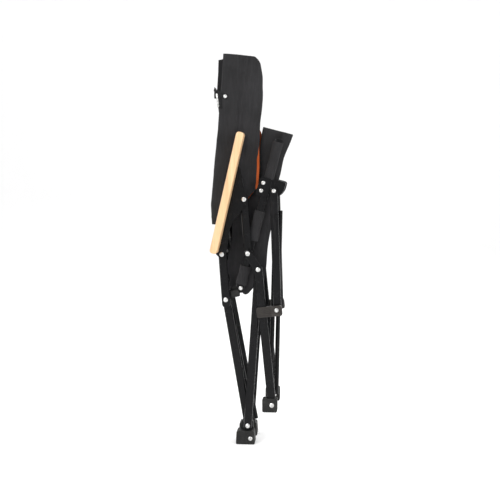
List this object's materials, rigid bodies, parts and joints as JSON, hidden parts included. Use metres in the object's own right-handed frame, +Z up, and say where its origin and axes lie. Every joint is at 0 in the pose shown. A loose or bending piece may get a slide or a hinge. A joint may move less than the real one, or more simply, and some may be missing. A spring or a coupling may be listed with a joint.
{
  "type": "folding armchair",
  "caption": "Camping armchair folded flat for carrying: crossed steel side frames, wooden armrests and cloth back and seat slings gathered in pleats between them",
  "frame": {"origin": "centre of the bottom of the bounding box, on the floor between the rear feet", "axes": "+Z up along the longest extent, +X towards the front of the chair, -Y towards the near side frame"},
  "size_m": [0.2066, 0.2214, 1.0162],
  "materials": {
    "paint": "semi-gloss black powder coat",
    "steel": "bright zinc",
    "plastic": "moulded, matte",
    "collar": "moulded, satin",
    "wood": "clear lacquer",
    "cloth": "woven polyester"
  },
  "bodies": {
    "near_rear_foot": {"near_rear_foot": "plastic", "near_rear_foot_rivet": "steel"},
    "near_rear_leg": {"near_rear_leg": "paint", "near_rear_leg_rivet": "steel"},
    "near_rear_brace": {"near_rear_brace": "paint"},
    "near_seat_rail": {"near_seat_rail": "paint", "near_rear_connector": "plastic", "near_front_bracket": "paint"},
    "near_front_leg": {"near_front_leg": "paint", "near_post_rivet": "steel", "near_brace_rivet": "steel"},
    "near_front_foot": {"near_front_foot": "plastic", "near_front_foot_rivet": "steel"},
    "near_strut": {"near_strut": "paint"},
    "near_strut_collar": {"near_strut_collar": "collar"},
    "near_back_pole": {"near_back_pole": "paint", "near_arm_rear_rivet": "steel", "strap_hook": "plastic"},
    "near_armrest": {"near_arm_bracket": "paint", "near_arm_wood": "wood", "near_arm_front_rivet": "steel"},
    "near_arm_post": {"near_arm_post": "paint"},
    "near_pole_runner": {"near_pole_runner": "plastic"},
    "near_front_cross": {"near_front_cross_tube": "paint"},
    "near_rear_cross": {"near_rear_cross_tube": "paint"},
    "near_back_pleat": {"near_back_sling_outer": "cloth"},
    "near_back_seam": {"near_back_sling_inner": "cloth"},
    "near_seat_pleat_1": {"near_seat_sling_outer": "cloth"},
    "near_seat_pleat_2": {"near_seat_sling_middle": "cloth"},
    "near_seat_seam": {"near_seat_sling_inner": "cloth"},
    "far_rear_foot": {"far_rear_foot": "plastic", "far_rear_foot_rivet": "steel"},
    "far_rear_leg": {"far_rear_leg": "paint", "far_rear_leg_rivet": "steel"},
    "far_rear_brace": {"far_rear_brace": "paint"},
    "far_seat_rail": {"far_seat_rail": "paint", "far_rear_connector": "plastic", "far_front_bracket": "paint"},
    "far_front_leg": {"far_front_leg": "paint", "far_post_rivet": "steel", "far_brace_rivet": "steel"},
    "far_front_foot": {"far_front_foot": "plastic", "far_front_foot_rivet": "steel"},
    "far_strut": {"far_strut": "paint"},
    "far_strut_collar": {"far_strut_collar": "collar"},
    "far_back_pole": {"far_back_pole": "paint", "far_arm_rear_rivet": "steel"},
    "far_armrest": {"far_arm_bracket": "paint", "far_arm_wood": "wood", "far_arm_front_rivet": "steel"},
    "far_arm_post": {"far_arm_post": "paint"},
    "far_pole_runner": {"far_pole_runner": "plastic"},
    "far_front_cross": {"far_front_cross_tube": "paint"},
    "far_rear_cross": {"far_rear_cross_tube": "paint"},
    "far_back_pleat": {"far_back_sling_outer": "cloth"},
    "far_back_seam": {"far_back_sling_inner": "cloth"},
    "far_seat_pleat_1": {"far_seat_sling_outer": "cloth"},
    "far_seat_pleat_2": {"far_seat_sling_middle": "cloth"},
    "far_seat_seam": {"far_seat_sling_inner": "cloth"}
  },
  "joints": [
    {"name": "unfold", "type": "hinge", "parent": "near_rear_foot", "child": "near_rear_leg", "pos_m": [-0.00891, 0, 0.048], "axis": [0, 1, 0], "range_deg": [0, 30.26]},
    {"name": "near_brace_turn", "type": "hinge", "parent": "near_rear_foot", "child": "near_rear_brace", "pos_m": [-0.00891, 0, 0.048], "axis": [0, 1, 0], "range_deg": [0, 41.02]},
    {"name": "near_rail_turn", "type": "hinge", "parent": "near_rear_leg", "child": "near_seat_rail", "pos_m": [-0.06651, 0, 0.376], "axis": [0, 1, 0], "range_deg": [0, 30.74]},
    {"name": "near_front_leg_turn", "type": "hinge", "parent": "near_seat_rail", "child": "near_front_leg", "pos_m": [-0.00791, 0, 0.498], "axis": [0, 1, 0], "range_deg": [-80, 0]},
    {"name": "near_front_foot_turn", "type": "hinge", "parent": "near_front_leg", "child": "near_front_foot", "pos_m": [0.05509, 0, 0.107], "axis": [0, 1, 0], "range_deg": [0, 18.99]},
    {"name": "near_strut_turn", "type": "hinge", "parent": "near_seat_rail", "child": "near_strut", "pos_m": [0.05909, 0, 0.661], "axis": [0, 1, 0], "range_deg": [-64.07, 0]},
    {"name": "near_collar_slide", "type": "slide", "parent": "near_front_leg", "child": "near_strut_collar", "axis": [0.1023, 0, -0.9948], "range_m": [0, 0.19238]},
    {"name": "near_pole_turn", "type": "hinge", "parent": "near_rear_leg", "child": "near_back_pole", "pos_m": [-0.06651, 0, 0.376], "axis": [0, 1, 0], "range_deg": [-50.46, 0]},
    {"name": "near_arm_turn", "type": "hinge", "parent": "near_back_pole", "child": "near_armrest", "pos_m": [-0.07651, 0, 0.495], "axis": [0, 1, 0], "range_deg": [0, 74.61]},
    {"name": "near_post_turn", "type": "hinge", "parent": "near_armrest", "child": "near_arm_post", "pos_m": [-0.01861, 0, 0.639], "axis": [0, 1, 0], "range_deg": [-64.31, 0]},
    {"name": "near_runner_slide", "type": "slide", "parent": "near_back_pole", "child": "near_pole_runner", "axis": [0.0732, 0, -0.9973], "range_m": [0, 0.116]},
    {"name": "far_rear_foot_spread", "type": "slide", "parent": "near_rear_foot", "child": "far_rear_foot", "axis": [0, 1, 0], "range_m": [0, 0.32]},
    {"name": "far_rear_leg_spread", "type": "slide", "parent": "near_rear_leg", "child": "far_rear_leg", "axis": [0, 1, 0], "range_m": [0, 0.32]},
    {"name": "far_rear_brace_spread", "type": "slide", "parent": "near_rear_brace", "child": "far_rear_brace", "axis": [0, 1, 0], "range_m": [0, 0.32]},
    {"name": "far_seat_rail_spread", "type": "slide", "parent": "near_seat_rail", "child": "far_seat_rail", "axis": [0, 1, 0], "range_m": [0, 0.32]},
    {"name": "far_front_leg_spread", "type": "slide", "parent": "near_front_leg", "child": "far_front_leg", "axis": [0, 1, 0], "range_m": [0, 0.32]},
    {"name": "far_front_foot_spread", "type": "slide", "parent": "near_front_foot", "child": "far_front_foot", "axis": [0, 1, 0], "range_m": [0, 0.32]},
    {"name": "far_strut_spread", "type": "slide", "parent": "near_strut", "child": "far_strut", "axis": [0, 1, 0], "range_m": [0, 0.32]},
    {"name": "far_strut_collar_spread", "type": "slide", "parent": "near_strut_collar", "child": "far_strut_collar", "axis": [0, 1, 0], "range_m": [0, 0.32]},
    {"name": "far_back_pole_spread", "type": "slide", "parent": "near_back_pole", "child": "far_back_pole", "axis": [0, 1, 0], "range_m": [0, 0.32]},
    {"name": "far_armrest_spread", "type": "slide", "parent": "near_armrest", "child": "far_armrest", "axis": [0, 1, 0], "range_m": [0, 0.32]},
    {"name": "far_arm_post_spread", "type": "slide", "parent": "near_arm_post", "child": "far_arm_post", "axis": [0, 1, 0], "range_m": [0, 0.32]},
    {"name": "far_pole_runner_spread", "type": "slide", "parent": "near_pole_runner", "child": "far_pole_runner", "axis": [0, 1, 0], "range_m": [0, 0.32]},
    {"name": "near_front_cross_turn", "type": "hinge", "parent": "near_front_foot", "child": "near_front_cross", "pos_m": [0.04789, -0.013, 0.118], "axis": [-0.9791, -0.2002, 0.0347], "range_deg": [0, 43.14]},
    {"name": "near_rear_cross_turn", "type": "hinge", "parent": "near_rear_foot", "child": "near_rear_cross", "pos_m": [-0.00711, -0.013, 0.052], "axis": [-0.9031, 0.3866, -0.1871], "range_deg": [0, 45.77]},
    {"name": "far_front_cross_turn", "type": "hinge", "parent": "far_front_foot", "child": "far_front_cross", "pos_m": [0.06229, 0.013, 0.118], "axis": [0.9791, -0.2002, -0.0347], "range_deg": [0, 43.14]},
    {"name": "far_rear_cross_turn", "type": "hinge", "parent": "far_rear_foot", "child": "far_rear_cross", "pos_m": [0.00729, 0.013, 0.052], "axis": [0.9031, 0.3866, 0.1871], "range_deg": [0, 45.77]},
    {"name": "near_back_pleat_spread", "type": "slide", "parent": "near_back_pole", "child": "near_back_pleat", "axis": [-0.7193, 0.6933, 0.0445], "range_m": [0, 0.12766], "deforming": ["near_back_sling_outer"]},
    {"name": "near_back_seam_spread", "type": "slide", "parent": "near_back_pleat", "child": "near_back_seam", "axis": [0.8266, 0.5605, -0.0511], "range_m": [0, 0.13041], "deforming": ["near_back_sling_inner"]},
    {"name": "near_seat_pleat_1_spread", "type": "slide", "parent": "near_seat_rail", "child": "near_seat_pleat_1", "axis": [-0.7669, 0.6089, 0.2026], "range_m": [0, 0.04664], "deforming": ["near_seat_sling_outer"]},
    {"name": "near_seat_pleat_2_spread", "type": "slide", "parent": "near_seat_pleat_1", "child": "near_seat_pleat_2", "axis": [0.7129, 0.6755, -0.1883], "range_m": [0, 0.10036], "deforming": ["near_seat_sling_middle"]},
    {"name": "near_seat_seam_spread", "type": "slide", "parent": "near_seat_pleat_2", "child": "near_seat_seam", "axis": [-0.7254, 0.6611, 0.1917], "range_m": [0, 0.09863], "deforming": ["near_seat_sling_inner"]},
    {"name": "far_back_pleat_spread", "type": "slide", "parent": "far_back_pole", "child": "far_back_pleat", "axis": [-0.7193, -0.6933, 0.0445], "range_m": [0, 0.12766], "deforming": ["far_back_sling_outer"]},
    {"name": "far_back_seam_spread", "type": "slide", "parent": "far_back_pleat", "child": "far_back_seam", "axis": [0.8266, -0.5605, -0.0511], "range_m": [0, 0.13041], "deforming": ["far_back_sling_inner"]},
    {"name": "far_seat_pleat_1_spread", "type": "slide", "parent": "far_seat_rail", "child": "far_seat_pleat_1", "axis": [-0.7669, -0.6089, 0.2026], "range_m": [0, 0.04664], "deforming": ["far_seat_sling_outer"]},
    {"name": "far_seat_pleat_2_spread", "type": "slide", "parent": "far_seat_pleat_1", "child": "far_seat_pleat_2", "axis": [0.7129, -0.6755, -0.1883], "range_m": [0, 0.10036], "deforming": ["far_seat_sling_middle"]},
    {"name": "far_seat_seam_spread", "type": "slide", "parent": "far_seat_pleat_2", "child": "far_seat_seam", "axis": [-0.7254, -0.6611, 0.1917], "range_m": [0, 0.09863], "deforming": ["far_seat_sling_inner"]}
  ],
  "couplings": [
    {"joint": "near_brace_turn", "follows": "unfold", "ratio": 1.3553},
    {"joint": "near_rail_turn", "follows": "unfold", "ratio": 1.0159},
    {"joint": "near_front_leg_turn", "follows": "unfold", "ratio": -2.6435},
    {"joint": "near_front_foot_turn", "follows": "unfold", "ratio": 0.62762},
    {"joint": "near_strut_turn", "follows": "unfold", "ratio": -2.117},
    {"joint": "near_collar_slide", "follows": "unfold", "m_per_rad": 0.36423},
    {"joint": "near_pole_turn", "follows": "unfold", "ratio": -1.6674},
    {"joint": "near_arm_turn", "follows": "unfold", "ratio": 2.4654},
    {"joint": "near_post_turn", "follows": "unfold", "ratio": -2.1252},
    {"joint": "near_runner_slide", "follows": "unfold", "m_per_rad": 0.21962},
    {"joint": "far_rear_foot_spread", "follows": "unfold", "m_per_rad": 0.60585},
    {"joint": "far_rear_leg_spread", "follows": "unfold", "m_per_rad": 0.60585},
    {"joint": "far_rear_brace_spread", "follows": "unfold", "m_per_rad": 0.60585},
    {"joint": "far_seat_rail_spread", "follows": "unfold", "m_per_rad": 0.60585},
    {"joint": "far_front_leg_spread", "follows": "unfold", "m_per_rad": 0.60585},
    {"joint": "far_front_foot_spread", "follows": "unfold", "m_per_rad": 0.60585},
    {"joint": "far_strut_spread", "follows": "unfold", "m_per_rad": 0.60585},
    {"joint": "far_strut_collar_spread", "follows": "unfold", "m_per_rad": 0.60585},
    {"joint": "far_back_pole_spread", "follows": "unfold", "m_per_rad": 0.60585},
    {"joint": "far_armrest_spread", "follows": "unfold", "m_per_rad": 0.60585},
    {"joint": "far_arm_post_spread", "follows": "unfold", "m_per_rad": 0.60585},
    {"joint": "far_pole_runner_spread", "follows": "unfold", "m_per_rad": 0.60585},
    {"joint": "near_front_cross_turn", "follows": "unfold", "ratio": 1.4256},
    {"joint": "near_rear_cross_turn", "follows": "unfold", "ratio": 1.5124},
    {"joint": "far_front_cross_turn", "follows": "unfold", "ratio": 1.4256},
    {"joint": "far_rear_cross_turn", "follows": "unfold", "ratio": 1.5124},
    {"joint": "near_back_pleat_spread", "follows": "unfold", "m_per_rad": 0.24169},
    {"joint": "near_back_seam_spread", "follows": "unfold", "m_per_rad": 0.24691},
    {"joint": "near_seat_pleat_1_spread", "follows": "unfold", "m_per_rad": 0.088308},
    {"joint": "near_seat_pleat_2_spread", "follows": "unfold", "m_per_rad": 0.19002},
    {"joint": "near_seat_seam_spread", "follows": "unfold", "m_per_rad": 0.18673},
    {"joint": "far_back_pleat_spread", "follows": "unfold", "m_per_rad": 0.24169},
    {"joint": "far_back_seam_spread", "follows": "unfold", "m_per_rad": 0.24691},
    {"joint": "far_seat_pleat_1_spread", "follows": "unfold", "m_per_rad": 0.088308},
    {"joint": "far_seat_pleat_2_spread", "follows": "unfold", "m_per_rad": 0.19002},
    {"joint": "far_seat_seam_spread", "follows": "unfold", "m_per_rad": 0.18673}
  ]
}
